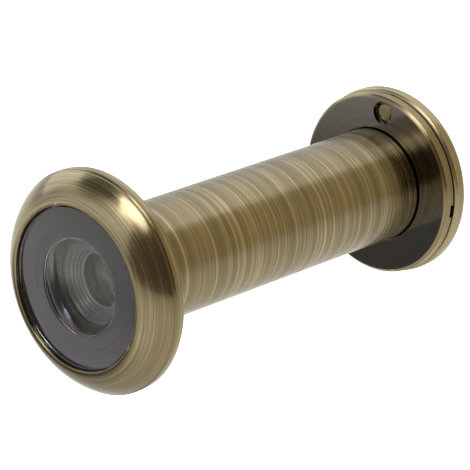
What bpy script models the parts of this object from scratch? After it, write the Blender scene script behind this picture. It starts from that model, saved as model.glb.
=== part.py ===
"""Door viewer with a swinging privacy cover, in metres.

The optical axis is Y: the outdoor lens looks along -Y and the indoor eyepiece is at +Y.
+Z is up, and the cover hangs from a rivet straight above the axis.
"""

import bmesh
import bpy
from math import atan2, cos, hypot, pi, sin

MM = 0.001

# Distances along the axis are counted from the front lip; the whole is centred afterwards.
BARREL_RADIUS = 8.0
BARREL_END = 58.7
HEAD_RADIUS = 11.35
LIP_INNER = 10.95
LIP_OUTER = 11.5
WELL_RADIUS = 11.5
FACE_BULGE = pi / 10.6
CORNER_RADIUS = 14.85
CORNER_Y = 3.1
RIM_RADIUS = 15.05
BEZEL_BACK = 5.0
FLANGE_FACE = 58.8
FLANGE_BACK = 60.55
FLANGE_FACE_RADIUS = 12.6
RELIEF_RADIUS = 8.2
RELIEF_DEPTH = 0.2
FLANGE_RADIUS = 13.0
COVER_RADIUS = 13.35
COVER_FRONT = 60.75
COVER_BACK = 63.05
RIVET_HEAD = 0.35
RIVET_SHANK = 0.8
RIVET_TAIL = 1.25
PIVOT_RADIUS = 10.7
COUNTERBORE = 1.65
COUNTERBORE_DEPTH = 1.25
WASHER_POCKET = 2.3
WASHER_POCKET_DEPTH = 0.4
WAVE_HEIGHT = 0.08
WAVES = 3
SLOT_WIDTH = 1.8
SLOT_DEPTH = 0.65
MASK_HOLE = 6.45
OPTICS_BORE = 6.6
THREAD_BORE = 7.2
TUBE_RADIUS = 7.1
TUBE_BORE = 6.3
TUBE_FRONT = 16.0
EYE_OPENING = 4.2
TOTAL = COVER_BACK + RIVET_HEAD
GAP = 0.1

LARGE_SEGMENTS = 56
SMALL_SEGMENTS = 36
PIN_SEGMENTS = 24

COLOURS = {
    "antique_brass": ((0.42, 0.33, 0.17, 1), 1.0, 0.32),
    "polished_brass": ((0.33, 0.27, 0.17, 1), 1.0, 0.12),
    "black_anodised": ((0.012, 0.012, 0.013, 1), 0.0, 0.45),
    "black_rubber": ((0.02, 0.02, 0.02, 1), 0.0, 0.7),
    "optical_glass": ((0.9, 0.93, 0.92, 1), 0.0, 0.02),
    "spring_steel": ((0.5, 0.5, 0.5, 1), 1.0, 0.3),
}


def make_material(name):
    colour, metallic, roughness = COLOURS[name]
    material = bpy.data.materials.new(name)
    material.use_nodes = True
    shader = material.node_tree.nodes["Principled BSDF"]
    shader.inputs["Base Color"].default_value = colour
    shader.inputs["Metallic"].default_value = metallic
    shader.inputs["Roughness"].default_value = roughness
    if name == "optical_glass":
        shader.inputs["Transmission Weight"].default_value = 1.0
        shader.inputs["IOR"].default_value = 1.52
    return material


def along(y):
    """A distance from the front lip as a position on the centred axis."""
    return (y - TOTAL / 2) * MM


def turned(name, profile, segments, material, collection, closed=True):
    """A ring or disc from a half profile of (radius, distance) points, turned about the axis."""
    mesh = bpy.data.meshes.new(name)
    points = [(radius * MM, along(y), 0) for radius, y in profile]
    edges = [(i, i + 1) for i in range(len(points) - 1)]
    if closed:
        edges.append((len(points) - 1, 0))
    mesh.from_pydata(points, edges, [])
    piece = bpy.data.objects.new(name, mesh)
    collection.objects.link(piece)
    screw = piece.modifiers.new("turn", "SCREW")
    screw.axis = "Y"
    screw.angle = 2 * pi
    screw.steps = segments
    screw.render_steps = segments
    screw.use_merge_vertices = True
    screw.merge_threshold = 0.00001
    screw.use_smooth_shade = True
    mesh.materials.append(material)
    return piece


def swelling(start, end, half_angle, steps):
    """Points of an arc that bulges outwards between two points of a profile."""
    chord = hypot(end[0] - start[0], end[1] - start[1])
    slope = atan2(end[1] - start[1], end[0] - start[0])
    radius = chord / (2 * sin(half_angle))
    points = []
    for step in range(steps + 1):
        turn = slope + half_angle * (2 * step / steps - 1)
        outwards = start[0] + radius * (sin(turn) - sin(slope - half_angle))
        points.append((outwards, start[1] + radius * (cos(slope - half_angle) - cos(turn))))
    return points


def box_cutter(name, centre, size, helpers):
    mesh = bpy.data.meshes.new(name)
    shape = bmesh.new()
    bmesh.ops.create_cube(shape, size=1.0)
    bmesh.ops.scale(shape, vec=size, verts=shape.verts)
    bmesh.ops.translate(shape, vec=centre, verts=shape.verts)
    shape.to_mesh(mesh)
    shape.free()
    return hide_helper(bpy.data.objects.new(name, mesh), helpers)


def pin_cutter(name, radius, start, end, helpers):
    """A cylinder through the pivot of the cover, along the axis."""
    bpy.ops.mesh.primitive_cylinder_add(
        vertices=PIN_SEGMENTS,
        radius=radius * MM,
        depth=(end - start) * MM,
        location=(0, along((start + end) / 2), PIVOT_RADIUS * MM),
        rotation=(pi / 2, 0, 0),
    )
    cutter = bpy.context.object
    cutter.name = name
    cutter.users_collection[0].objects.unlink(cutter)
    return hide_helper(cutter, helpers)


def hide_helper(helper, helpers):
    helper.hide_render = True
    helper.display_type = "WIRE"
    helpers.objects.link(helper)
    return helper


def cut(piece, cutter):
    boolean = piece.modifiers.new("cut", "BOOLEAN")
    boolean.operation = "DIFFERENCE"
    boolean.solver = "EXACT"
    boolean.object = cutter


def bake_and_smooth(pieces):
    """Applies each piece's modifiers, then shades it smooth with crisp edges."""
    bpy.context.view_layer.update()
    graph = bpy.context.evaluated_depsgraph_get()
    baked = {}
    for piece in pieces:
        baked[piece] = bpy.data.meshes.new_from_object(piece.evaluated_get(graph))
    for piece, mesh in baked.items():
        piece.modifiers.clear()
        piece.data = mesh
        mesh.name = piece.name
        mesh.shade_smooth()
        mesh.set_sharp_from_angle(angle=pi / 6)


def set_origin(piece, point):
    """Moves the origin to the point without moving the shape."""
    for vertex in piece.data.vertices:
        vertex.co.x -= point[0]
        vertex.co.y -= point[1]
        vertex.co.z -= point[2]
    piece.location = point


def make_front(materials, parts):
    """The outdoor half: bezel, barrel and the lens stack in its head."""
    brass = materials["antique_brass"]
    black = materials["black_anodised"]
    glass = materials["optical_glass"]
    bezel = [(LIP_INNER, 0.45), (LIP_INNER, 0.15), (11.08, 0.02), (11.3, 0.0)]
    bezel += swelling((LIP_OUTER, 0.01), (CORNER_RADIUS, CORNER_Y), FACE_BULGE, 6)
    bezel += [(RIM_RADIUS, 3.32), (RIM_RADIUS, 4.3), (14.96, 4.72), (14.7, BEZEL_BACK)]
    bezel += [(BARREL_RADIUS + GAP, BEZEL_BACK), (BARREL_RADIUS + GAP, 4.0)]
    bezel += [(WELL_RADIUS, 4.0), (WELL_RADIUS, 0.45)]
    turned("front_bezel", bezel[::-1], LARGE_SEGMENTS, brass, parts)
    gasket = [(10.87, 0.9), (10.87, 0.55), (HEAD_RADIUS, 0.55), (HEAD_RADIUS, 0.9)]
    turned("front_gasket", gasket[::-1], LARGE_SEGMENTS, materials["black_rubber"], parts)
    objective = [
        (0.0, 0.12),
        (4.0, 0.15),
        (7.6, 0.26),
        (10.3, 0.42),
        (10.72, 0.5),
        (10.72, 1.0),
        (HEAD_RADIUS, 1.0),
        (HEAD_RADIUS, 1.5),
        (MASK_HOLE, 1.5),
        (4.6, 1.02),
        (2.4, 0.76),
        (0.0, 0.68),
    ]
    turned("objective_lens", objective[::-1], LARGE_SEGMENTS, glass, parts, closed=False)
    mask = [(MASK_HOLE, 1.6), (HEAD_RADIUS, 1.6), (HEAD_RADIUS, 2.95), (5.9, 2.95)]
    turned("lens_mask", mask[::-1], LARGE_SEGMENTS, black, parts)
    barrel = [
        (5.9, 3.05),
        (HEAD_RADIUS, 3.05),
        (HEAD_RADIUS, 3.9),
        (BARREL_RADIUS, 3.9),
        (BARREL_RADIUS, BARREL_END - 0.15),
        (BARREL_RADIUS - 0.12, BARREL_END),
        (THREAD_BORE + 0.15, BARREL_END),
        (THREAD_BORE, BARREL_END - 0.3),
        (THREAD_BORE, 15.0),
        (OPTICS_BORE, 15.0),
        (OPTICS_BORE, 3.9),
        (5.9, 3.9),
    ]
    turned("outer_barrel", barrel[::-1], LARGE_SEGMENTS, brass, parts)
    cell = [
        (5.8, 4.0),
        (6.5, 4.0),
        (6.5, 9.2),
        (5.1, 9.2),
        (5.1, 6.9),
        (4.1, 6.9),
        (4.1, 6.5),
    ]
    turned("lens_cell", cell[::-1], SMALL_SEGMENTS, black, parts)
    second = [
        (0.0, 6.3),
        (2.2, 6.48),
        (4.0, 6.98),
        (5.0, 7.3),
        (5.0, 9.0),
        (3.6, 9.0),
        (2.2, 8.35),
        (0.0, 8.0),
    ]
    turned("second_lens", second[::-1], SMALL_SEGMENTS, glass, parts, closed=False)
    spacer = [(4.6, 9.3), (6.5, 9.3), (6.5, 10.3), (4.6, 10.3)]
    turned("lens_spacer", spacer[::-1], SMALL_SEGMENTS, black, parts)
    third = [
        (0.0, 10.9),
        (2.2, 10.75),
        (4.2, 10.4),
        (6.5, 10.4),
        (6.5, 12.2),
        (4.4, 12.2),
        (2.2, 12.6),
        (0.0, 12.75),
    ]
    turned("third_lens", third[::-1], SMALL_SEGMENTS, glass, parts, closed=False)
    retainer = [(4.8, 12.3), (6.5, 12.3), (6.5, 14.2), (5.2, 14.2), (4.8, 13.8)]
    turned("lens_retainer", retainer[::-1], SMALL_SEGMENTS, black, parts)


def make_eyepiece(materials, parts, helpers):
    """The indoor half: the threaded tube, its flange, the eyepiece lens and its rings."""
    brass = materials["antique_brass"]
    black = materials["black_anodised"]
    tube = [
        (TUBE_BORE, TUBE_FRONT),
        (TUBE_RADIUS - 0.3, TUBE_FRONT),
        (TUBE_RADIUS, TUBE_FRONT + 0.4),
        (TUBE_RADIUS, FLANGE_BACK - 0.15),
        (TUBE_BORE, FLANGE_BACK - 0.15),
    ]
    turned("inner_tube", tube[::-1], LARGE_SEGMENTS, brass, parts)
    stop = [(3.4, 40.0), (6.2, 40.0), (6.2, 41.2), (3.8, 41.2)]
    turned("field_stop", stop[::-1], SMALL_SEGMENTS, black, parts)
    seat = [(5.4, 51.8), (6.2, 51.8), (6.2, 52.8), (5.4, 52.8)]
    turned("eyepiece_seat", seat[::-1], SMALL_SEGMENTS, black, parts)
    lens = [
        (0.0, 52.1),
        (2.6, 52.25),
        (4.9, 52.9),
        (6.15, 52.9),
        (6.15, 54.8),
        (4.9, 54.8),
        (2.6, 55.6),
        (0.0, 55.85),
    ]
    turned("eyepiece_lens", lens[::-1], SMALL_SEGMENTS, materials["optical_glass"], parts, closed=False)
    ring = [
        (5.2, 54.95),
        (6.2, 54.95),
        (6.2, FLANGE_BACK - 0.15),
        (4.9, FLANGE_BACK - 0.15),
        (EYE_OPENING, 57.8),
        (EYE_OPENING, 56.4),
        (5.2, 56.4),
    ]
    turned("eyepiece_retainer", ring[::-1], SMALL_SEGMENTS, black, parts)
    flange = [
        (TUBE_RADIUS + GAP, FLANGE_FACE + RELIEF_DEPTH),
        (RELIEF_RADIUS, FLANGE_FACE + RELIEF_DEPTH),
        (RELIEF_RADIUS, FLANGE_FACE),
        (FLANGE_FACE_RADIUS, FLANGE_FACE),
        (FLANGE_RADIUS, FLANGE_FACE + 0.35),
        (FLANGE_RADIUS, FLANGE_BACK - 0.15),
        (FLANGE_RADIUS - 0.15, FLANGE_BACK),
        (TUBE_RADIUS + GAP, FLANGE_BACK),
    ]
    rear = turned("rear_flange", flange[::-1], LARGE_SEGMENTS, materials["polished_brass"], parts)
    floor = FLANGE_FACE + COUNTERBORE_DEPTH
    cut(rear, pin_cutter("counterbore_cutter", COUNTERBORE, FLANGE_FACE - 1, floor, helpers))
    cut(rear, pin_cutter("rivet_hole_cutter", RIVET_SHANK + GAP, floor - 1, FLANGE_BACK + 1, helpers))
    for side in (-1, 1):
        centre = (side * 12.0 * MM, along(FLANGE_BACK), 0)
        size = (8.0 * MM, 2 * SLOT_DEPTH * MM, SLOT_WIDTH * MM)
        cut(rear, box_cutter(f"coin_slot_cutter_{side + 2}", centre, size, helpers))


def make_cover(materials, parts, helpers):
    """The disc that swings over the eyepiece, its rivet and the spring washer under the rivet's tail."""
    profile = [
        (0.0, COVER_FRONT),
        (COVER_RADIUS - 0.65, COVER_FRONT),
        (COVER_RADIUS - 0.25, COVER_FRONT + 0.2),
        (COVER_RADIUS - 0.04, COVER_FRONT + 0.65),
        (COVER_RADIUS, COVER_FRONT + 1.15),
        (COVER_RADIUS - 0.1, COVER_FRONT + 1.65),
        (COVER_RADIUS - 0.4, COVER_BACK - 0.25),
        (COVER_RADIUS - 0.9, COVER_BACK - 0.04),
        (COVER_RADIUS - 1.5, COVER_BACK),
        (0.0, COVER_BACK),
    ]
    cover = turned(
        "privacy_cover", profile[::-1], LARGE_SEGMENTS, materials["antique_brass"], parts, closed=False
    )
    floor = COVER_FRONT + WASHER_POCKET_DEPTH
    cut(cover, pin_cutter("washer_pocket_cutter", WASHER_POCKET, COVER_FRONT - 1, floor, helpers))
    cut(cover, pin_cutter("cover_hole_cutter", RIVET_SHANK + 0.05, floor - 1, COVER_BACK + 1, helpers))


def pin_piece(name, profile, material, collection):
    """A piece turned about the pivot of the cover."""
    piece = turned(name, profile, PIN_SEGMENTS, material, collection, closed=profile[0][0] > 0)
    piece.location.z = PIVOT_RADIUS * MM
    return piece


def make_rivet(materials, parts):
    """The rivet, the flat washer under its tail and the wave washer between flange and cover."""
    steel = materials["spring_steel"]
    tail = FLANGE_FACE + 0.45
    rivet = [
        (0.0, tail),
        (0.95, tail),
        (RIVET_TAIL, tail + 0.15),
        (RIVET_TAIL, tail + 0.42),
        (RIVET_SHANK, tail + 0.42),
        (RIVET_SHANK, COVER_BACK + 0.05),
        (1.5, COVER_BACK + 0.05),
        (1.5, COVER_BACK + 0.2),
        (1.1, COVER_BACK + RIVET_HEAD),
        (0.0, COVER_BACK + RIVET_HEAD),
    ]
    pin_piece("pivot_rivet", rivet[::-1], materials["antique_brass"], parts)
    inner = RIVET_SHANK + 0.08
    under_tail = tail + 0.5
    washer = [(inner, under_tail), (1.55, under_tail), (1.55, under_tail + 0.2), (inner, under_tail + 0.2)]
    pin_piece("pivot_washer", washer[::-1], steel, parts)
    lift = FLANGE_BACK + 0.2
    wave = [(inner, lift), (2.1, lift), (2.1, lift + 0.17), (inner, lift + 0.17)]
    pin_piece("wave_washer", wave[::-1], steel, parts)


def make_wavy(washer):
    """Lifts and lowers a flat washer round its ring."""
    for vertex in washer.data.vertices:
        angle = atan2(vertex.co.z, vertex.co.x)
        vertex.co.y += WAVE_HEIGHT * MM * cos(WAVES * angle)


def main():
    for old in list(bpy.data.objects):
        bpy.data.objects.remove(old, do_unlink=True)
    parts = bpy.data.collections.new("door_viewer")
    helpers = bpy.data.collections.new("cutters")
    bpy.context.scene.collection.children.link(parts)
    bpy.context.scene.collection.children.link(helpers)
    materials = {name: make_material(name) for name in COLOURS}
    make_front(materials, parts)
    make_eyepiece(materials, parts, helpers)
    make_cover(materials, parts, helpers)
    make_rivet(materials, parts)
    pieces = list(parts.objects)
    bake_and_smooth(pieces)
    make_wavy(bpy.data.objects["wave_washer"])
    pivot = (0, along(COVER_FRONT), PIVOT_RADIUS * MM)
    set_origin(bpy.data.objects["privacy_cover"], pivot)


main()
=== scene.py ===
import math
import bmesh
import bpy
from mathutils import Matrix, Vector


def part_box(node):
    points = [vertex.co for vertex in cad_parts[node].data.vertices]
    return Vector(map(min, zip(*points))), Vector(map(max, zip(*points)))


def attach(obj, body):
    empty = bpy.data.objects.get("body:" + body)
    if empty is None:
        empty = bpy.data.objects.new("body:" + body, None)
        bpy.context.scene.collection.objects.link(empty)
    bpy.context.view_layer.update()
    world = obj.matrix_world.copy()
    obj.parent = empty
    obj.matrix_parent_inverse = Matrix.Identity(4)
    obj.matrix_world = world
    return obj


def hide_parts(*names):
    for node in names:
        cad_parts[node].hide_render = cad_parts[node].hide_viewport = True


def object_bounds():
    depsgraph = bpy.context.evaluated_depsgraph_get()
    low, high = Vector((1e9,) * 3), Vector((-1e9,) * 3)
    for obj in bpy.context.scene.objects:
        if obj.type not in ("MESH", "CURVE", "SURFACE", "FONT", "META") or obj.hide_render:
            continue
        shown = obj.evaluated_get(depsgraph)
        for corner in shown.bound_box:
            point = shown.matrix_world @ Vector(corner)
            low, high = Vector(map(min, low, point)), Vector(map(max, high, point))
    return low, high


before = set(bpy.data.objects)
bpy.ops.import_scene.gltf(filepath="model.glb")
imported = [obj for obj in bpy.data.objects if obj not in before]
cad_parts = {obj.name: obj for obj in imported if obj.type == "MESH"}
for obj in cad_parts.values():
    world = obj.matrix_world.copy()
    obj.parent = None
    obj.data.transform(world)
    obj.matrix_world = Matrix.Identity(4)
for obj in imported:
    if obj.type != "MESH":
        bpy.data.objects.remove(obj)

cadBox = [list(corner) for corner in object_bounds()]
mm = 0.001
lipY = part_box("front_bezel")[0][1]  # distances along the axis are counted from the front lip
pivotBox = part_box("pivot_rivet")
pivotZ = (pivotBox[0][2] + pivotBox[1][2]) / 2
rivetEnd = (pivotBox[1][1] - lipY) / mm  # head of the rivet, the furthest back


def fromLip(distance):
    return lipY + distance * mm


def deselectAll():
    if bpy.context.mode != "OBJECT":
        bpy.ops.object.mode_set(mode="OBJECT")
    bpy.ops.object.select_all(action="DESELECT")


def selectOnly(piece):
    deselectAll()
    piece.select_set(True)
    bpy.context.view_layer.objects.active = piece


def selectWhere(piece, test):
    mesh = bmesh.from_edit_mesh(piece.data)
    for vertex in mesh.verts:
        vertex.select = test(vertex.co)
    mesh.select_flush_mode()
    bmesh.update_edit_mesh(piece.data)


def bend(radiusCentre, yCentre, radius, startDeg, endDeg, steps=6):
    # points of a rounded corner in an outline, 0 degrees outwards and 90 towards the back
    points = []
    for step in range(steps + 1):
        angle = math.radians(startDeg + (endDeg - startDeg) * step / steps)
        points.append((radiusCentre + radius * math.cos(angle), yCentre + radius * math.sin(angle)))
    return points


def turnPiece(name, outline, segments=160, axisZ=0.0):
    # a lathe job: a ring is extruded and resized along the outline of (radius, distance) points;
    # an outline that starts on the axis is a solid, any other one is a ring sewn to its start
    deselectAll()
    solid = outline[0][0] == 0
    rings = outline[1:] if solid else outline
    radius, y = rings[0]
    bpy.ops.mesh.primitive_circle_add(
        vertices=segments, radius=radius * mm, fill_type="TRIFAN" if solid else "NOTHING",
        location=(0, fromLip(y), axisZ), rotation=(math.pi / 2, 0, 0))
    piece = bpy.context.object
    piece.name = name
    piece.data.name = name
    bpy.ops.object.transform_apply(location=True, rotation=True, scale=True)
    bpy.ops.object.mode_set(mode="EDIT")
    bpy.ops.mesh.select_mode(type="VERT")
    if solid:
        half = radius * mm * 0.5
        selectWhere(piece, lambda co: math.hypot(co.x, co.z - axisZ) < half)
        bpy.ops.transform.translate(value=(0, (outline[0][1] - y) * mm, 0))
        selectWhere(piece, lambda co: math.hypot(co.x, co.z - axisZ) > half)
    stops = rings[1:] if solid else rings[1:] + rings[:1]
    for nextRadius, nextY in stops:
        bpy.ops.mesh.extrude_edges_move(TRANSFORM_OT_translate={"value": (0, (nextY - y) * mm, 0)})
        if nextRadius == 0:
            bpy.ops.mesh.merge(type="COLLAPSE")
            break
        grow = nextRadius / radius
        bpy.ops.transform.resize(value=(grow, 1, grow), center_override=(0, fromLip(nextY), axisZ))
        radius, y = nextRadius, nextY
    bpy.ops.mesh.select_all(action="SELECT")
    bpy.ops.mesh.remove_doubles(threshold=0.000002)
    bpy.ops.mesh.normals_make_consistent(inside=False)
    bpy.ops.object.mode_set(mode="OBJECT")
    return piece


def applyModifier(piece, kind, **settings):
    selectOnly(piece)
    bpy.ops.object.modifier_add(type=kind)
    modifier = piece.modifiers[-1]
    for setting, value in settings.items():
        setattr(modifier, setting, value)
    bpy.ops.object.modifier_apply(modifier=modifier.name)


def softenEdges(piece, width, segments=2):
    applyModifier(piece, "BEVEL", width=width * mm, segments=segments,
                  limit_method="ANGLE", angle_limit=math.radians(32))


def cutAway(piece, cutter):
    applyModifier(piece, "BOOLEAN", operation="DIFFERENCE", solver="EXACT", object=cutter)
    bpy.data.objects.remove(cutter, do_unlink=True)


def pinCutter(radius, start, end, segments=64):
    deselectAll()
    bpy.ops.mesh.primitive_cylinder_add(
        vertices=segments, radius=radius * mm, depth=(end - start) * mm,
        location=(0, fromLip((start + end) / 2), pivotZ), rotation=(math.pi / 2, 0, 0))
    return bpy.context.object


def finishPiece(piece, node, body, material, angle=32):
    selectOnly(piece)
    bpy.ops.object.shade_smooth_by_angle(angle=math.radians(angle))
    applyModifier(piece, "WEIGHTED_NORMAL", keep_sharp=True)  # flat faces stay flat beside soft edges
    piece.data.materials.clear()
    piece.data.materials.append(material)
    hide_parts(node)
    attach(piece, body)


def newMaterial(name, baseColor, roughness, metallic):
    material = bpy.data.materials.new(name)
    material.use_nodes = True
    shader = material.node_tree.nodes["Principled BSDF"]
    shader.inputs["Base Color"].default_value = (*baseColor, 1)
    shader.inputs["Roughness"].default_value = roughness
    shader.inputs["Metallic"].default_value = metallic
    return material, shader


def addNode(tree, kind, x=0, y=0, **settings):
    node = tree.nodes.new(kind)
    node.location = (x, y)
    for setting, value in settings.items():
        setattr(node, setting, value)
    return node


def mathNode(tree, operation, first, second=None, x=0, y=0, clamp=False):
    node = addNode(tree, "ShaderNodeMath", x, y, operation=operation, use_clamp=clamp)
    for socket, value in zip(node.inputs, (first, second)):
        if value is None:
            continue
        if isinstance(value, (int, float)):
            socket.default_value = value
        else:
            tree.links.new(value, socket)
    return node.outputs[0]


def vectorNode(tree, operation, first, second=None, x=0, y=0):
    node = addNode(tree, "ShaderNodeVectorMath", x, y, operation=operation)
    tree.links.new(first, node.inputs[0])
    if isinstance(second, tuple):
        node.inputs[1].default_value = second
    elif second is not None:
        tree.links.new(second, node.inputs[1])
    return node.outputs["Value" if operation == "DISTANCE" else "Vector"]


def newGroup(name, inputs, outputs):
    group = bpy.data.node_groups.new(name, "ShaderNodeTree")
    for label, kind, value in inputs:
        socket = group.interface.new_socket(name=label, in_out="INPUT", socket_type=kind)
        if value is not None:
            socket.default_value = value
    for label in outputs:
        group.interface.new_socket(name=label, in_out="OUTPUT", socket_type="NodeSocketFloat")
    entry = addNode(group, "NodeGroupInput", -900, 0)
    leave = addNode(group, "NodeGroupOutput", 900, 0)
    return group, entry, leave


def placeGroup(tree, group, place, x, y, **values):
    node = addNode(tree, "ShaderNodeGroup", x, y, node_tree=group)
    tree.links.new(place, node.inputs["Vector"])
    for label, value in values.items():
        node.inputs[label].default_value = value
    return node


def noiseNode(tree, vector, scale, detail, roughness, x, y):
    node = addNode(tree, "ShaderNodeTexNoise", x, y)
    node.inputs["Detail"].default_value = detail
    node.inputs["Roughness"].default_value = roughness
    tree.links.new(vector, node.inputs["Vector"])
    if isinstance(scale, (int, float)):
        node.inputs["Scale"].default_value = scale
    else:
        tree.links.new(scale, node.inputs["Scale"])
    return node.outputs["Fac"]


def spread(tree, value, low, high, x, y, outLow=0.0, outHigh=1.0):
    node = addNode(tree, "ShaderNodeMapRange", x, y, interpolation_type="SMOOTHSTEP")
    tree.links.new(value, node.inputs["Value"])
    labels = ("From Min", "From Max", "To Min", "To Max")
    for label, number in zip(labels, (low, high, outLow, outHigh)):
        node.inputs[label].default_value = number
    return node.outputs["Result"]


def mixColour(tree, factor, first, second, x, y):
    node = addNode(tree, "ShaderNodeMix", x, y, data_type="RGBA")
    for label, value in ((0, factor), (6, first), (7, second)):
        if isinstance(value, (tuple, float, int)):
            node.inputs[label].default_value = value if label == 0 else (*value, 1)
        else:
            tree.links.new(value, node.inputs[label])
    return node.outputs[2]


def bumpNode(tree, height, strength, depth, x, y):
    node = addNode(tree, "ShaderNodeBump", x, y)
    node.inputs["Strength"].default_value = strength
    node.inputs["Distance"].default_value = depth
    tree.links.new(height, node.inputs["Height"])
    return node.outputs["Normal"]


brushing = {
    "lanes": (1.0, 0.36, 0.09), "leastSwing": 0.3, "detail": 2.0, "roughness": 0.6,
    "fineShare": (0.6, 0.4), "fineSpan": (0.41, 0.60), "broadSpan": (0.34, 0.66), "nearAxis": 0.0002,
}


def lathedLines():
    # rings left by the brushing wheel: streaks run round the Y axis and vary along it and outwards
    group, entry, leave = newGroup(
        "lathedLines",
        [("Vector", "NodeSocketVector", None), ("Lines", "NodeSocketFloat", 9000.0),
         ("Sweep", "NodeSocketFloat", 1.2), ("Outward", "NodeSocketFloat", 0.0)],
        ["Fine", "Broad", "Height"])
    lines, sweep, outwardShare = (entry.outputs[k] for k in ("Lines", "Sweep", "Outward"))
    parts = addNode(group, "ShaderNodeSeparateXYZ", -720, 0)
    group.links.new(entry.outputs["Vector"], parts.inputs[0])
    x, y, z = parts.outputs
    squares = mathNode(group, "ADD", mathNode(group, "MULTIPLY", x, x, -560, 160),
                       mathNode(group, "MULTIPLY", z, z, -560, 0), -420, 90)
    reach = mathNode(group, "SQRT", squares, None, -300, 90)
    safe = mathNode(group, "MAXIMUM", reach, brushing["nearAxis"], -180, 90)
    turnX = mathNode(group, "MULTIPLY", mathNode(group, "DIVIDE", x, safe, -60, 200), sweep, 60, 200)
    turnZ = mathNode(group, "MULTIPLY", mathNode(group, "DIVIDE", z, safe, -60, 60), sweep, 60, 60)
    outward = mathNode(group, "MULTIPLY", reach, outwardShare, -60, -80)
    travel = mathNode(group, "ADD", y, outward, 60, -80)
    levels = []
    for index, factor in enumerate(brushing["lanes"]):
        drop = 160 * index
        swing = max(brushing["leastSwing"], math.sqrt(factor))  # the broad bands wander least
        lane = mathNode(group, "MULTIPLY", travel, lines, 180, -80 - drop)
        lane = mathNode(group, "MULTIPLY", lane, factor, 300, -80 - drop)
        joined = addNode(group, "ShaderNodeCombineXYZ", 420, -80 - drop)
        wander = (mathNode(group, "MULTIPLY", turnX, swing, 300, 200 - drop), lane,
                  mathNode(group, "MULTIPLY", turnZ, swing, 300, 60 - drop))
        for source, socket in zip(wander, joined.inputs):
            group.links.new(source, socket)
        levels.append(noiseNode(group, joined.outputs[0], 1.0, brushing["detail"],
                                brushing["roughness"], 560, -80 - drop))
    first, second = brushing["fineShare"]
    fine = mathNode(group, "ADD", mathNode(group, "MULTIPLY", levels[0], first, 700, 0),
                    mathNode(group, "MULTIPLY", levels[1], second, 700, -140), 780, -40)
    group.links.new(spread(group, fine, *brushing["fineSpan"], 840, 60), leave.inputs["Fine"])
    group.links.new(spread(group, levels[2], *brushing["broadSpan"], 840, -200), leave.inputs["Broad"])
    group.links.new(fine, leave.inputs["Height"])
    return group


patina = {"cloudDetail": 4.0, "cloudRoughness": 0.6, "cloudSpan": (0.35, 0.68),
          "speckFiner": 14.0, "speckDetail": 2.0, "speckRoughness": 0.5, "speckSpan": (0.68, 0.78)}


def cloudiness():
    # patina and handling marks, with no direction
    group, entry, leave = newGroup(
        "cloudiness", [("Vector", "NodeSocketVector", None), ("Size", "NodeSocketFloat", 160.0)],
        ["Cloud", "Specks"])
    place, size = entry.outputs["Vector"], entry.outputs["Size"]
    broad = noiseNode(group, place, size, patina["cloudDetail"], patina["cloudRoughness"], -400, 100)
    finer = mathNode(group, "MULTIPLY", size, patina["speckFiner"], -560, -160)
    dots = noiseNode(group, place, finer, patina["speckDetail"], patina["speckRoughness"], -400, -160)
    group.links.new(spread(group, broad, *patina["cloudSpan"], -160, 100), leave.inputs["Cloud"])
    group.links.new(spread(group, dots, *patina["speckSpan"], -160, -160), leave.inputs["Specks"])
    return group


rubbing = {"patchSize": 700.0, "detail": 3.0, "roughness": 0.6, "uneven": 0.03, "steep": 14.0}


def wornEdges():
    # rubbed outer corners, bright where the lacquer and the dark finish are worn through
    group, entry, leave = newGroup(
        "wornEdges", [("Vector", "NodeSocketVector", None), ("Start", "NodeSocketFloat", 0.53)], ["Wear"])
    shape = addNode(group, "ShaderNodeNewGeometry", -700, 100)
    patches = noiseNode(group, entry.outputs["Vector"], rubbing["patchSize"], rubbing["detail"],
                        rubbing["roughness"], -700, -140)
    shift = mathNode(group, "MULTIPLY", mathNode(group, "SUBTRACT", patches, 0.5, -520, -140),
                     rubbing["uneven"], -400, -140)
    shifted = mathNode(group, "ADD", shape.outputs["Pointiness"], shift, -260, 60)
    over = mathNode(group, "SUBTRACT", shifted, entry.outputs["Start"], -120, 60)
    wear = mathNode(group, "MULTIPLY", over, rubbing["steep"], 20, 60, clamp=True)
    group.links.new(wear, leave.inputs["Wear"])
    return group


linesGroup = lathedLines()
cloudGroup = cloudiness()
wearGroup = wornEdges()


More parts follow.
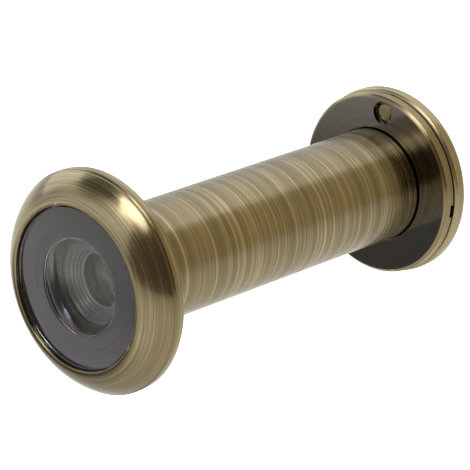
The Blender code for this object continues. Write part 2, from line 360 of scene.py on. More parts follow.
def brassMaterial(name, look):
    # antiqued brass: brushed round the axis, darkened in the streaks, lacquered over
    material, shader = newMaterial(name, look["base"], look["roughness"], 1.0)
    tree = material.node_tree
    place = addNode(tree, "ShaderNodeTexCoord", -1500, 0).outputs["Object"]
    lines = placeGroup(tree, linesGroup, place, -1200, 200,
                       Lines=look["lines"], Sweep=look["sweep"], Outward=look["outward"])
    clouds = placeGroup(tree, cloudGroup, place, -1200, -60, Size=look["cloudSize"])
    wear = placeGroup(tree, wearGroup, place, -1200, -260, Start=look["wearStart"])
    streaked = mixColour(tree, lines.outputs["Fine"], look["dark"], look["base"], -900, 260)
    banded = mixColour(tree, lines.outputs["Broad"], look["dark"], streaked, -700, 260)
    softened = mixColour(tree, look["contrast"], look["base"], banded, -520, 260)
    clouded = mathNode(tree, "MULTIPLY", clouds.outputs["Cloud"], look["patina"], -700, 20)
    aged = mixColour(tree, clouded, softened, look["stain"], -340, 200)
    rubbed = mixColour(tree, wear.outputs["Wear"], aged, look["worn"], -160, 160)
    tree.links.new(rubbed, shader.inputs["Base Color"])
    rough = mathNode(tree, "ADD",
                     mathNode(tree, "MULTIPLY", lines.outputs["Fine"], look["roughSpread"], -700, -160),
                     mathNode(tree, "MULTIPLY", clouds.outputs["Cloud"], look["cloudRough"], -700, -300),
                     -520, -200)
    rough = mathNode(tree, "ADD", rough, look["roughness"] - look["roughSpread"] / 2, -340, -200)
    tree.links.new(rough, shader.inputs["Roughness"])
    bump = bumpNode(tree, lines.outputs["Height"], look["bump"], look["bumpDepth"], -160, -320)
    tree.links.new(bump, shader.inputs["Normal"])
    shader.inputs["Anisotropic"].default_value = look["anisotropic"]
    shader.inputs["Anisotropic Rotation"].default_value = 0.25
    tangent = addNode(tree, "ShaderNodeTangent", -160, -520, direction_type="RADIAL", axis="Y")
    tree.links.new(tangent.outputs[0], shader.inputs["Tangent"])
    shader.inputs["Coat Weight"].default_value = look["coat"]
    shader.inputs["Coat Roughness"].default_value = look["coatRoughness"]
    return material


def plainMaterial(name, look):
    # moulded or sprung parts: slight clouding in the colour and gloss, a fine grain in the surface
    material, shader = newMaterial(name, look["base"], look["roughness"], look["metallic"])
    tree = material.node_tree
    place = addNode(tree, "ShaderNodeTexCoord", -1300, 0).outputs["Object"]
    clouds = placeGroup(tree, cloudGroup, place, -1000, 0, Size=look["cloudSize"])
    lines = placeGroup(tree, linesGroup, place, -1000, -260, Lines=look["lines"], Sweep=1.0, Outward=1.0)
    colour = mixColour(tree, clouds.outputs["Cloud"], look["base"], look["second"], -700, 120)
    specks = mathNode(tree, "MULTIPLY", clouds.outputs["Specks"], look["dust"], -700, -60)
    dusty = mixColour(tree, specks, colour, look["dustColour"], -480, 80)
    tree.links.new(dusty, shader.inputs["Base Color"])
    rough = mathNode(tree, "MULTIPLY", lines.outputs["Fine"], look["roughSpread"], -700, -240)
    rough = mathNode(tree, "ADD", rough, look["roughness"] - look["roughSpread"] / 2, -480, -240)
    tree.links.new(rough, shader.inputs["Roughness"])
    bump = bumpNode(tree, lines.outputs["Height"], look["bump"], look["bumpDepth"], -300, -360)
    tree.links.new(bump, shader.inputs["Normal"])
    return material


def maskMaterial(name, look):
    # turned and blackened ring: its shallow tool marks lean the surface inwards like a very flat dish
    material, shader = newMaterial(name, look["base"], look["roughness"], look["metallic"])
    tree = material.node_tree
    place = addNode(tree, "ShaderNodeTexCoord", -1300, 0).outputs["Object"]
    lines = placeGroup(tree, linesGroup, place, -1000, 0, Lines=look["lines"], Sweep=1.0, Outward=1.0)
    colour = mixColour(tree, lines.outputs["Fine"], look["base"], look["second"], -600, 120)
    tree.links.new(colour, shader.inputs["Base Color"])
    rough = mathNode(tree, "MULTIPLY", lines.outputs["Fine"], look["roughSpread"], -600, -100)
    rough = mathNode(tree, "ADD", rough, look["roughness"], -400, -100)
    tree.links.new(rough, shader.inputs["Roughness"])
    dish = vectorNode(tree, "MULTIPLY", place, (-look["dish"], 0, -look["dish"]), -1000, -360)
    turned = addNode(tree, "ShaderNodeVectorTransform", -800, -360,
                     convert_from="OBJECT", convert_to="WORLD")
    tree.links.new(dish, turned.inputs[0])
    flat = addNode(tree, "ShaderNodeNewGeometry", -800, -560).outputs["Normal"]
    leant = vectorNode(tree, "ADD", turned.outputs[0], flat, -600, -360)
    tree.links.new(vectorNode(tree, "NORMALIZE", leant, None, -400, -360), shader.inputs["Normal"])
    return material


def glassMaterial(name, look):
    # polished optical glass with the faintest haze and a few dust motes
    material, shader = newMaterial(name, look["tint"], look["roughness"], 0.0)
    tree = material.node_tree
    shader.inputs["IOR"].default_value = look["ior"]
    shader.inputs["Transmission Weight"].default_value = 1.0
    place = addNode(tree, "ShaderNodeTexCoord", -900, 0).outputs["Object"]
    clouds = placeGroup(tree, cloudGroup, place, -650, 0, Size=look["cloudSize"])
    haze = mathNode(tree, "MULTIPLY", clouds.outputs["Specks"], look["haze"], -400, -60)
    rough = mathNode(tree, "ADD", haze, look["roughness"], -220, -60)
    tree.links.new(rough, shader.inputs["Roughness"])
    colour = mixColour(tree, clouds.outputs["Cloud"], look["tint"], look["tint2"], -220, 140)
    tree.links.new(colour, shader.inputs["Base Color"])
    return material


barrelLook = {
    "base": (0.46, 0.385, 0.22), "dark": (0.10, 0.074, 0.03), "stain": (0.22, 0.17, 0.075),
    "worn": (0.58, 0.46, 0.24), "contrast": 0.75, "patina": 0.2, "cloudSize": 170.0, "cloudRough": 0.05,
    "lines": 6800.0, "sweep": 0.35, "outward": 1.0, "wearStart": 0.56,
    "roughness": 0.24, "roughSpread": 0.10, "bump": 0.4, "bumpDepth": 0.00002,
    "anisotropic": 0.8, "coat": 0.45, "coatRoughness": 0.18,
}
barrelBrass = brassMaterial("barrelBrass", barrelLook)

bezelLook = dict(
    barrelLook, base=(0.44, 0.37, 0.22), contrast=0.7, lines=6000.0, sweep=0.9, wearStart=0.53,
    roughness=0.19, bump=0.3, anisotropic=0.65, coatRoughness=0.12)
bezelBrass = brassMaterial("bezelBrass", bezelLook)

coverLook = dict(barrelLook, contrast=0.35, lines=6000.0, bump=0.16, anisotropic=0.45, coatRoughness=0.16)
coverBrass = brassMaterial("coverBrass", coverLook)

flangeLook = dict(
    barrelLook, base=(0.22, 0.205, 0.18), dark=(0.12, 0.105, 0.085), stain=(0.15, 0.135, 0.11),
    worn=(0.5, 0.42, 0.26), contrast=0.3, wearStart=0.95, roughness=0.06, roughSpread=0.03,
    bump=0.02, anisotropic=0.0, coat=0.4, coatRoughness=0.06)
flangeBronze = brassMaterial("flangeBronze", flangeLook)

rimLook = dict(barrelLook, base=(0.31, 0.24, 0.125), contrast=0.3, roughness=0.25, bump=0.14)
rimBrass = brassMaterial("rimBrass", rimLook)

tubeLook = dict(barrelLook, contrast=0.3, lines=3000.0, bump=0.1)
tubeBrass = brassMaterial("tubeBrass", tubeLook)

plasticLook = {
    "base": (0.011, 0.011, 0.012), "second": (0.016, 0.016, 0.017), "roughness": 0.42, "metallic": 0.0,
    "cloudSize": 260.0, "lines": 9000.0, "dust": 0.12, "dustColour": (0.3, 0.29, 0.27),
    "roughSpread": 0.12, "bump": 0.25, "bumpDepth": 0.00001,
}
mattBlack = plainMaterial("mattBlack", plasticLook)

maskLook = {"base": (0.12, 0.108, 0.13), "second": (0.17, 0.155, 0.185), "roughness": 0.2,
            "roughSpread": 0.06, "metallic": 0.9, "lines": 6000.0, "dish": 12.7}
maskBlack = maskMaterial("maskBlack", maskLook)

# the black cell is given a mid grey: painted light, standing in for the light that comes in through the
# lenses
cellPaintedLightLook = dict(plasticLook, base=(0.24, 0.24, 0.25), second=(0.32, 0.32, 0.33),
                roughness=0.22, roughSpread=0.04, bump=0.03)
cellPaintedLight = plainMaterial("cellPaintedLight", cellPaintedLightLook)

# pale grey for a painted highlight ring along sharp inner edges
paintedHighlightLook = dict(plasticLook, base=(0.42, 0.42, 0.43), second=(0.5, 0.5, 0.5), roughness=0.25)
paintedHighlightGrey = plainMaterial("paintedHighlightGrey", paintedHighlightLook)

rubberLook = dict(plasticLook, base=(0.008, 0.008, 0.008), second=(0.013, 0.013, 0.013),
                  roughness=0.65, dust=0.05)
rubberBlack = plainMaterial("rubberBlack", rubberLook)

steelLook = dict(plasticLook, base=(0.46, 0.46, 0.45), second=(0.36, 0.36, 0.36),
                 roughness=0.3, metallic=1.0, dust=0.02)
springSteel = plainMaterial("springSteel", steelLook)

glassLook = {"tint": (0.97, 0.98, 0.975), "tint2": (0.94, 0.96, 0.955), "roughness": 0.004,
             "haze": 0.02, "ior": 1.52, "cloudSize": 200.0}
opticalGlass = glassMaterial("opticalGlass", glassLook)
print("materials made")


bezelShape = {
    "lipInner": 10.95, "lipOuter": 11.5, "lipRound": 0.15, "ledge": 0.45, "bulge": 17,
    "cornerRadius": 14.85, "cornerY": 3.1, "rimRadius": 15.045, "rimRound": 0.5,
    "backRadius": 14.65, "backY": 5.0, "hole": 8.1, "wellRadius": 11.5, "wellFloor": 4.0,
}


def makeBezel(shape=bezelShape):
    inner, ledge, rounding = shape["lipInner"], shape["ledge"], shape["lipRound"]
    corner, cornerY, rim = shape["cornerRadius"], shape["cornerY"], shape["rimRadius"]
    lip = [(inner, ledge), (inner, 0.16)] + bend(inner + rounding, rounding, rounding, 195, 270, 4)
    start = 0.01  # the lip's flat lies this little behind its foremost point
    wide, deep = corner - shape["lipOuter"], cornerY - start
    half, slope = math.radians(shape["bulge"]), math.atan2(deep, wide)
    radius = math.hypot(wide, deep) / (2 * math.sin(half))
    face = []
    for step in range(19):  # the face swells outwards from the flat lip to the corner
        turn = slope + half * (step / 9 - 1)
        face.append((shape["lipOuter"] + radius * (math.sin(turn) - math.sin(slope - half)),
                     start + radius * (math.cos(slope - half) - math.cos(turn))))
    groove = [(corner + 0.02, cornerY + 0.07), (corner - 0.02, cornerY + 0.17)]
    groove += [(rim - 0.075, cornerY + 0.26), (rim, cornerY + 0.38)]
    edge = bend(rim - shape["rimRound"], shape["backY"] - 0.55, shape["rimRound"], 0, 75, 6)
    back = [(shape["backRadius"], shape["backY"]), (shape["hole"], shape["backY"]),
            (shape["hole"], shape["wellFloor"]), (shape["wellRadius"], shape["wellFloor"]),
            (shape["wellRadius"], ledge)]
    piece = turnPiece("frontBezel", lip + face + groove + edge + back, 192)
    softenEdges(piece, 0.03)
    finishPiece(piece, "front_bezel", "front_half", bezelBrass, 40)


barrelShape = {
    "head": 11.35, "headFront": 3.05, "headBack": 3.9, "mouth": 5.9, "radius": 8.0, "end": 58.7,
    "chamfer": 0.15, "opticsBore": 6.6, "opticsEnd": 15.0, "threadBore": 7.2,
}


def makeBarrel(shape=barrelShape):
    head, mouth, radius, end = shape["head"], shape["mouth"], shape["radius"], shape["end"]
    front, back, chamfer = shape["headFront"], shape["headBack"], shape["chamfer"]
    thread, optics, step = shape["threadBore"], shape["opticsBore"], shape["opticsEnd"]
    outline = [(mouth, front), (head, front), (head, back), (radius, back)]
    outline += [(radius, end - chamfer), (radius - chamfer, end), (thread + 0.15, end)]
    outline += [(thread, end - 0.3), (thread, step), (optics, step), (optics, back), (mouth, back)]
    piece = turnPiece("outerBarrel", outline, 192)
    softenEdges(piece, 0.05, 3)
    finishPiece(piece, "outer_barrel", "front_half", barrelBrass)


gasketShape = {"bore": 10.87, "radius": 11.35, "front": 0.55, "back": 0.9, "rounding": 0.07}


def makeGasket(shape=gasketShape):
    bore, radius, rounding = shape["bore"], shape["radius"], shape["rounding"]
    front, back = shape["front"], shape["back"]
    outline = [(bore, back), (bore, front + rounding)]
    outline += bend(bore + rounding, front + rounding, rounding, 180, 270, 3)
    outline += [(radius, front), (radius, back)]
    piece = turnPiece("frontGasket", outline, 160)
    finishPiece(piece, "front_gasket", "front_half", rubberBlack)


objectiveShape = {"edge": 11.35, "face": 10.72, "front": 0.12, "sag": 0.36, "shoulder": 1.0,
                  "back": 1.5, "bowl": 6.45, "bowlDepth": 0.82}


def makeObjective(shape=objectiveShape):
    face, back, bowl = shape["face"], shape["back"], shape["bowl"]
    outline = [(face * k / 14, shape["front"] + shape["sag"] * (k / 14) ** 2) for k in range(14)]
    outline += [(face - 0.04, shape["front"] + shape["sag"])]
    outline += [(face, shape["front"] + shape["sag"] + 0.04), (face, shape["shoulder"])]
    outline += [(shape["edge"], shape["shoulder"]), (shape["edge"], back), (bowl + 0.12, back)]
    for step in range(13):
        reach = 1 - step / 12
        outline.append((bowl * reach, back - 0.06 - (shape["bowlDepth"] - 0.06) * (1 - reach ** 2)))
    piece = turnPiece("objectiveLens", outline, 128)
    finishPiece(piece, "objective_lens", "front_half", opticalGlass, 25)


def paintHighlightEdge(piece, inner, outer):
    # the sharp inner edge is painted pale where it faces forwards: a painted highlight ring
    piece.data.materials.append(paintedHighlightGrey)
    for polygon in piece.data.polygons:
        reach = math.hypot(polygon.center.x, polygon.center.z) / mm
        if inner < reach < outer and polygon.normal.y < -0.2:
            polygon.material_index = 1


maskShape = {"hole": 6.45, "edge": 0.1, "radius": 11.35, "front": 1.6, "back": 2.95, "backHole": 5.9}


def makeMask(shape=maskShape):
    hole, radius, front, back = shape["hole"], shape["radius"], shape["front"], shape["back"]
    outline = [(hole, front + 0.08), (hole + shape["edge"], front), (radius, front), (radius, back)]
    outline += [(shape["backHole"], back), (shape["backHole"], back - 0.2)]
    piece = turnPiece("lensMask", outline, 160)
    finishPiece(piece, "lens_mask", "front_half", maskBlack)
    # a painted highlight ring round the hole
    paintHighlightEdge(piece, hole - 0.05, hole + shape["edge"] - 0.01)


cellShape = {"mouth": 5.8, "radius": 6.5, "front": 4.0, "back": 9.2, "socket": 5.1, "socketFront": 6.9,
             "throat": 4.1, "throatFront": 6.5, "steps": 5}


def makeCell(shape=cellShape):
    mouth, radius, front, back = shape["mouth"], shape["radius"], shape["front"], shape["back"]
    throat, floor, steps = shape["throat"], shape["throatFront"], shape["steps"]
    outline = [(mouth, front), (radius, front), (radius, back), (shape["socket"], back)]
    outline += [(shape["socket"], shape["socketFront"]), (throat, shape["socketFront"])]
    outline += [(throat, floor), (throat + 0.2, floor - 0.14)]
    for step in range(1, steps):  # shallow steps down the funnel stop stray light
        reach = throat + (mouth - throat) * step / steps
        rise = (floor - front) / steps
        outline += [(reach - 0.04, floor - rise * (step - 0.45)), (reach, floor - rise * step)]
    piece = turnPiece("lensCell", outline, 128)
    softenEdges(piece, 0.03)
    # the cell's grey is painted light, not its own black
    finishPiece(piece, "lens_cell", "front_half", cellPaintedLight)
    # a painted highlight ring round the throat
    paintHighlightEdge(piece, throat - 0.05, throat + 0.19)


def makeLens(name, node, body, shape):
    # a pole is where a face meets the axis, and its sag is how far back it lies at its reach
    front = [(shape["frontReach"] * k / 10, shape["frontPole"] + shape["frontSag"] * (k / 10) ** 2)
             for k in range(11)]
    back = [(shape["backReach"] * k / 10, shape["backPole"] + shape["backSag"] * (k / 10) ** 2)
            for k in range(10, -1, -1)]
    rim = [(shape["edge"], shape["edgeFront"]), (shape["edge"], shape["edgeBack"])]
    piece = turnPiece(name, front + rim + back, 96)
    finishPiece(piece, node, body, opticalGlass, 25)


secondLensShape = {"frontReach": 4.8, "frontPole": 6.3, "frontSag": 0.95, "backReach": 3.6,
                   "backPole": 8.0, "backSag": 1.0, "edge": 5.0, "edgeFront": 7.3, "edgeBack": 9.0}
thirdLensShape = {"frontReach": 4.2, "frontPole": 10.9, "frontSag": -0.5, "backReach": 4.4,
                  "backPole": 12.75, "backSag": -0.55, "edge": 6.5, "edgeFront": 10.4, "edgeBack": 12.2}


def makeRing(name, node, body, shape):
    outline = [(shape["bore"], shape["front"]), (shape["radius"], shape["front"]),
               (shape["radius"], shape["back"]), (shape["backBore"], shape["back"])]
    if shape["chamfer"]:
        outline.append((shape["bore"], shape["back"] - shape["chamfer"]))
    piece = turnPiece(name, outline, 96)
    softenEdges(piece, shape["soft"])
    finishPiece(piece, node, body, mattBlack)


spacerShape = {"bore": 4.6, "backBore": 4.6, "radius": 6.5, "front": 9.3, "back": 10.3,
               "chamfer": 0.0, "soft": 0.06}
retainerShape = {"bore": 4.8, "backBore": 5.2, "radius": 6.5, "front": 12.3, "back": 14.2,
                 "chamfer": 0.4, "soft": 0.06}

makeBezel()
makeBarrel()
makeGasket()
makeObjective()
makeMask()
makeCell()
makeLens("secondLens", "second_lens", "front_half", secondLensShape)
makeLens("thirdLens", "third_lens", "front_half", thirdLensShape)
makeRing("lensSpacer", "lens_spacer", "front_half", spacerShape)
makeRing("lensRetainer", "lens_retainer", "front_half", retainerShape)
print("front half made")


tubeShape = {
    "front": 16.0, "back": 60.4, "radius": 7.1, "bore": 6.3, "leadIn": 0.6, "plainEnd": 3.2,
    "pitch": 1.0, "depth": 0.22, "rings": 7, "fade": 0.8, "flank": 1.25, "crest": 0.12,
}


def makeTube(shape=tubeShape):
    radius, bore, front, back = shape["radius"], shape["bore"], shape["front"], shape["back"]
    threadStart, threadEnd = front + shape["leadIn"], back - shape["plainEnd"]
    outline = [(bore, front), (radius - 0.4, front), (radius, threadStart), (radius, threadEnd),
               (radius, back), (bore, back)]
    piece = turnPiece("innerTube", outline, 96)
    low, high = fromLip(threadStart), fromLip(threadEnd)
    outerReach = (radius - 0.1) * mm
    bpy.ops.object.mode_set(mode="EDIT")
    bpy.ops.mesh.select_all(action="DESELECT")
    bpy.ops.mesh.select_mode(type="EDGE")
    mesh = bmesh.from_edit_mesh(piece.data)
    for edge in mesh.edges:  # the long edges between the two ends of the thread
        ends = sorted(vertex.co.y for vertex in edge.verts)
        outer = all(math.hypot(v.co.x, v.co.z) > outerReach for v in edge.verts)
        edge.select_set(outer and abs(ends[0] - low) < 1e-5 and abs(ends[1] - high) < 1e-5)
    bmesh.update_edit_mesh(piece.data)
    turns = (threadEnd - threadStart) / shape["pitch"]
    bpy.ops.mesh.subdivide(number_cuts=int(turns * shape["rings"]))
    mesh = bmesh.from_edit_mesh(piece.data)
    for vertex in mesh.verts:  # each point sinks by its place across the right-hand thread's flanks
        reach = math.hypot(vertex.co.x, vertex.co.z)
        if reach < outerReach or not low + 2e-5 < vertex.co.y < high - 2e-5:
            continue
        turn = math.atan2(vertex.co.z, vertex.co.x) / (2 * math.pi)
        phase = ((vertex.co.y - low) / (shape["pitch"] * mm) + turn) % 1.0
        ending = min(vertex.co.y - low, high - vertex.co.y) / (shape["fade"] * mm)
        groove = shape["flank"] * (1 - abs(2 * phase - 1)) - shape["crest"]
        groove = min(1.0, max(0.0, groove)) * min(1.0, ending)
        shrink = 1 - groove * shape["depth"] * mm / reach
        vertex.co.x *= shrink
        vertex.co.z *= shrink
    bmesh.update_edit_mesh(piece.data)
    bpy.ops.object.mode_set(mode="OBJECT")
    finishPiece(piece, "inner_tube", "eyepiece_half", tubeBrass, 40)


flangeShape = {
    "face": 58.8, "back": 60.55, "faceRadius": 12.6, "radius": 13.0, "hole": 7.2,
    "relief": 8.2, "reliefDepth": 0.2, "counterbore": 1.65, "counterDepth": 1.25, "shankHole": 0.9,
    "slotWidth": 1.8, "slotDepth": 0.65, "slotMiddle": 12.0, "slotLength": 8.0,
}


def makeFlange(shape=flangeShape):
    face, back, faceRadius, radius = shape["face"], shape["back"], shape["faceRadius"], shape["radius"]
    hole, relief, sunk = shape["hole"], shape["relief"], face + shape["reliefDepth"]
    outline = [(hole, sunk), (relief, sunk), (relief, face), (relief + 0.12, face)]
    outline += [(faceRadius - 0.12, face), (faceRadius, face)]
    outline += [(radius - 0.06, face + 0.29), (radius, face + 0.37)]
    outline += [(radius, back - 0.15), (radius - 0.12, back), (hole, back)]
    piece = turnPiece("rearFlange", outline, 192)
    softenEdges(piece, 0.025)
    cutAway(piece, pinCutter(shape["counterbore"], face - 1, face + shape["counterDepth"]))
    cutAway(piece, pinCutter(shape["shankHole"], face, back + 1))
    for side in (-1, 1):  # coin slots open to the rim
        deselectAll()
        bpy.ops.mesh.primitive_cube_add(
            size=1.0, location=(side * shape["slotMiddle"] * mm, fromLip(back), 0))
        slot = bpy.context.object
        slot.scale = (shape["slotLength"] * mm, 2 * shape["slotDepth"] * mm, shape["slotWidth"] * mm)
        bpy.ops.object.transform_apply(location=True, rotation=True, scale=True)
        cutAway(piece, slot)
    finishPiece(piece, "rear_flange", "eyepiece_half", flangeBronze, 30)
    piece.data.materials.append(rimBrass)
    edgeReach = (faceRadius + 0.05) * mm
    for polygon in piece.data.polygons:  # only the face against the door is polished dark
        centre = polygon.center
        if math.hypot(centre.x, centre.z) > edgeReach or centre.y > fromLip(back) - 1e-5:
            polygon.material_index = 1


coverShape = {"front": 60.75, "back": 63.05, "radius": 13.35, "frontRound": 0.55, "backRound": 1.0,
              "middle": 6.0, "pocket": 2.3, "pocketDepth": 0.4, "shankHole": 0.85}


def makeCover(shape=coverShape):
    front, back, radius, middle = shape["front"], shape["back"], shape["radius"], shape["middle"]
    small, large = shape["frontRound"], shape["backRound"]
    outline = [(0, front), (middle, front), (radius - small - 0.25, front), (radius - small - 0.1, front)]
    outline += bend(radius - small, front + small, small, -75, 0, 6) + [(radius, front + 2 * small)]
    outline += bend(radius - large, back - large, large, 0, 80, 10)
    outline += [(radius - large - 0.3, back), (radius - large - 0.45, back), (middle, back), (0, back)]
    piece = turnPiece("privacyCover", outline, 192)
    softenEdges(piece, 0.03)
    cutAway(piece, pinCutter(shape["pocket"], front - 1, front + shape["pocketDepth"]))
    cutAway(piece, pinCutter(shape["shankHole"], front, back + 1))
    finishPiece(piece, "privacy_cover", "cover", coverBrass, 30)


rivetShape = {"tail": flangeShape["face"] + 0.45, "tailRadius": 1.25, "tailThick": 0.42, "tailRound": 0.2,
              "tailFlat": 0.55, "shank": 0.8, "head": coverShape["back"] + 0.05, "headRadius": 1.5,
              "headEdge": 0.08}


def makeRivet(shape=rivetShape):
    tail, radius, rounding = shape["tail"], shape["tailRadius"], shape["tailRound"]
    head, wide, shank = shape["head"], shape["headRadius"], shape["shank"]
    under, dome = tail + shape["tailThick"], head + shape["headEdge"]
    outline = [(0, tail), (shape["tailFlat"], tail)]
    outline += bend(radius - rounding, tail + rounding, rounding, 270, 350, 4)
    outline += [(radius, under), (shank, under), (shank, head), (wide, head), (wide, dome)]
    for k in range(1, 6):
        angle = math.radians(15 * k)
        outline.append((wide * math.cos(angle), dome + (rivetEnd - dome) * math.sin(angle)))
    piece = turnPiece("pivotRivet", outline + [(0, rivetEnd)], 64, pivotZ)
    finishPiece(piece, "pivot_rivet", "eyepiece_half", rimBrass, 35)


washerShape = {"front": rivetShape["tail"] + 0.5, "thick": 0.2, "bore": 0.88, "radius": 1.55}
waveShape = {"front": flangeShape["back"] + 0.2, "thick": 0.17, "bore": 0.88, "radius": 2.1,
             "waves": 3, "height": 0.08}


def makeWasher(name, shape):
    bore, radius, front = shape["bore"], shape["radius"], shape["front"]
    back = front + shape["thick"]
    outline = [(bore, front), (radius, front), (radius, back), (bore, back)]
    piece = turnPiece(name, outline, 64, pivotZ)
    softenEdges(piece, 0.02)
    return piece


def makeWashers():
    washer = makeWasher("pivotWasher", washerShape)
    finishPiece(washer, "pivot_washer", "eyepiece_half", springSteel)
    wave = makeWasher("waveWasher", waveShape)
    for vertex in wave.data.vertices:  # waves round the ring keep the cover from rattling
        angle = math.atan2(vertex.co.z - pivotZ, vertex.co.x)
        vertex.co.y += waveShape["height"] * mm * math.cos(waveShape["waves"] * angle)
    finishPiece(wave, "wave_washer", "eyepiece_half", springSteel)


stopShape = {"bore": 3.4, "backBore": 3.8, "radius": 6.2, "front": 40.0, "back": 41.2,
             "chamfer": 0.0, "soft": 0.05}
seatShape = {"bore": 5.4, "backBore": 5.4, "radius": 6.2, "front": 51.8, "back": 52.8,
             "chamfer": 0.0, "soft": 0.05}
eyepieceShape = {"frontReach": 4.9, "frontPole": 52.1, "frontSag": 0.8, "backReach": 4.9,
                 "backPole": 55.85, "backSag": -1.05, "edge": 6.15, "edgeFront": 52.9, "edgeBack": 54.8}
eyeRingShape = {"front": 54.95, "back": 60.4, "radius": 6.2, "socket": 5.2, "socketBack": 56.4,
                "bore": 4.2, "boreBack": 58.1, "throat": 4.35, "throatBack": 58.6, "mouth": 4.95}


def makeEyeRing(shape=eyeRingShape):
    socket, radius, front, back = shape["socket"], shape["radius"], shape["front"], shape["back"]
    outline = [(socket, front), (radius, front), (radius, back), (shape["mouth"], back)]
    outline += [(shape["throat"], shape["throatBack"]), (shape["bore"], shape["boreBack"])]
    outline += [(shape["bore"], shape["socketBack"]), (socket, shape["socketBack"])]
    piece = turnPiece("eyepieceRetainer", outline, 128)
    softenEdges(piece, 0.06)
    finishPiece(piece, "eyepiece_retainer", "eyepiece_half", mattBlack)


makeTube()
makeFlange()
makeCover()
makeRivet()
makeWashers()
makeRing("fieldStop", "field_stop", "eyepiece_half", stopShape)
makeRing("eyepieceSeat", "eyepiece_seat", "eyepiece_half", seatShape)
makeLens("eyepieceLens", "eyepiece_lens", "tube_carriage", eyepieceShape)
makeEyeRing()
print("indoor half made")


floorLook = {"drop": 0.055, "size": 6.0, "colour": (0.93, 0.93, 0.92), "roughness": 0.9, "glow": 0.85,
             "shadeCentre": (-0.08, -0.085, 0), "shadeReach": (0.02, 0.13), "shadeTone": (0.12, 0.95),
             "dark": (0.0, 0.0, 0.0), "light": (1.0, 1.0, 0.98)}


def makeFloor(look=floorLook):
    # pale paper, evenly white to the camera; in what the metal mirrors, a painted shadow darkens it
    # beside the outdoor end
    deselectAll()
    bpy.ops.mesh.primitive_plane_add(size=look["size"], location=(0, 0, cadBox[0][2] - look["drop"]))
    floor = bpy.context.object
    floor.name = "floor"
    material, shader = newMaterial("floorPaper", look["colour"], look["roughness"], 0.0)
    shader.inputs["Emission Color"].default_value = (1, 1, 1, 1)
    tree = material.node_tree
    place = addNode(tree, "ShaderNodeTexCoord", -1300, 0).outputs["Object"]
    # painted shadow: the mirrored paper goes from dark near shadeCentre to light further out
    gap = vectorNode(tree, "DISTANCE", place, look["shadeCentre"], -1100, 0)
    shade = spread(tree, gap, *look["shadeReach"], -900, 0, *look["shadeTone"])
    seen = addNode(tree, "ShaderNodeLightPath", -900, -300).outputs["Is Camera Ray"]
    tone = mixColour(tree, shade, look["dark"], look["light"], -600, 0)
    tree.links.new(mixColour(tree, seen, tone, look["colour"], -400, 0), shader.inputs["Base Color"])
    glow = mathNode(tree, "MULTIPLY", seen, look["glow"], -400, -300)
    tree.links.new(glow, shader.inputs["Emission Strength"])
    floor.data.materials.append(material)


skyLook = {
    "high": (1.25, 1.24, 1.20), "low": (0.66, 0.67, 0.68), "behind": (0.66, 0.56, 0.37),
    "dark": (0.17, 0.145, 0.105), "patch": (0.20, 0.19, 0.17), "backdrop": (1.0, 1.0, 1.0),
    "lean": 0.25, "sideSpan": (-0.04, 0.06), "behindSpan": (-0.25, 0.35), "highSpan": (0.1, 0.7),
    "patchWay": (-0.55, -0.30, 0.78), "patchReach": (0.22, 0.48),
}


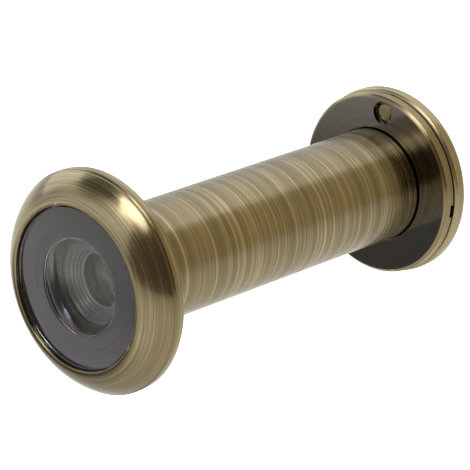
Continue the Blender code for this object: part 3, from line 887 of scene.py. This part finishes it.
def makeSky(look=skyLook):
    # a room that is bright on the left, dark and warm on the right, with one dark patch overhead
    world = bpy.data.worlds.new("studio")
    bpy.context.scene.world = world
    world.use_nodes = True
    tree = world.node_tree
    way = addNode(tree, "ShaderNodeTexCoord", -1200, 0).outputs["Generated"]
    parts = addNode(tree, "ShaderNodeSeparateXYZ", -1000, 0)
    tree.links.new(way, parts.inputs[0])
    x, y, z = parts.outputs
    lean = mathNode(tree, "MULTIPLY", z, look["lean"], -820, 60)
    side = spread(tree, mathNode(tree, "SUBTRACT", lean, x, -660, 60), *look["sideSpan"], -480, 60)
    behind = spread(tree, y, *look["behindSpan"], -480, -140)
    right = mixColour(tree, behind, look["dark"], look["behind"], -380, -40)
    height = spread(tree, z, *look["highSpan"], -480, -340)
    left = mixColour(tree, height, look["low"], look["high"], -380, -340)
    gap = vectorNode(tree, "DISTANCE", way, look["patchWay"], -820, 300)
    patch = spread(tree, gap, *look["patchReach"], -640, 300)
    walls = mixColour(tree, side, right, left, -280, 60)
    sky = mixColour(tree, patch, look["patch"], walls, -180, 160)
    seen = addNode(tree, "ShaderNodeLightPath", -280, -240).outputs["Is Camera Ray"]
    shown = mixColour(tree, seen, sky, look["backdrop"], -60, 40)
    tree.links.new(shown, tree.nodes["Background"].inputs["Color"])


lamps = {
    "overhead": {"way": (0.12, -0.42, 0.9), "distance": 0.55, "size": (0.30, 0.24), "power": 1.1},
    "leftSoft": {"way": (-0.9, 0.1, 0.35), "distance": 0.7, "size": (0.5, 0.4), "power": 0.5},
}


def makeLamp(name, setting):
    away = Vector(setting["way"]).normalized()
    lamp = bpy.data.lights.new(name, "AREA")
    lamp.shape = "RECTANGLE"
    lamp.size, lamp.size_y = setting["size"]
    lamp.energy = setting["power"]
    holder = bpy.data.objects.new(name, lamp)
    holder.location = away * setting["distance"]
    holder.rotation_euler = away.to_track_quat("Z", "Y").to_euler()
    bpy.context.scene.collection.objects.link(holder)


cameraView = {"azimuth": 41.15, "elevation": 23.92, "roll": 5.39, "lens": 220.6, "sensor": 36.0,
              "clip": (0.01, 20), "offset": (0.2329811, -0.2365695, 0.1566780)}


def makeCamera(view=cameraView):
    azimuth, elevation, roll = (math.radians(view[k]) for k in ("azimuth", "elevation", "roll"))
    level = math.cos(elevation)
    behind = Vector((math.sin(azimuth) * level, -math.cos(azimuth) * level, math.sin(elevation)))
    right = Vector((math.cos(azimuth), math.sin(azimuth), 0))
    up = behind.cross(right)
    turned = right * math.cos(roll) + up * math.sin(roll)
    upright = up * math.cos(roll) - right * math.sin(roll)
    data = bpy.data.cameras.new("camera")
    data.lens = view["lens"]
    data.sensor_width = view["sensor"]
    data.clip_start, data.clip_end = view["clip"]
    camera = bpy.data.objects.new("camera", data)
    spot = Vector(view["offset"]) + Vector((0, lipY, 0))
    camera.matrix_world = Matrix((
        (turned.x, upright.x, behind.x, spot.x), (turned.y, upright.y, behind.y, spot.y),
        (turned.z, upright.z, behind.z, spot.z), (0, 0, 0, 1)))
    bpy.context.scene.collection.objects.link(camera)
    bpy.context.scene.camera = camera


makeFloor()
makeSky()
for lampName, lampSetting in lamps.items():
    makeLamp(lampName, lampSetting)
makeCamera()
bpy.context.scene.view_settings.view_transform = "Standard"
print("studio made")
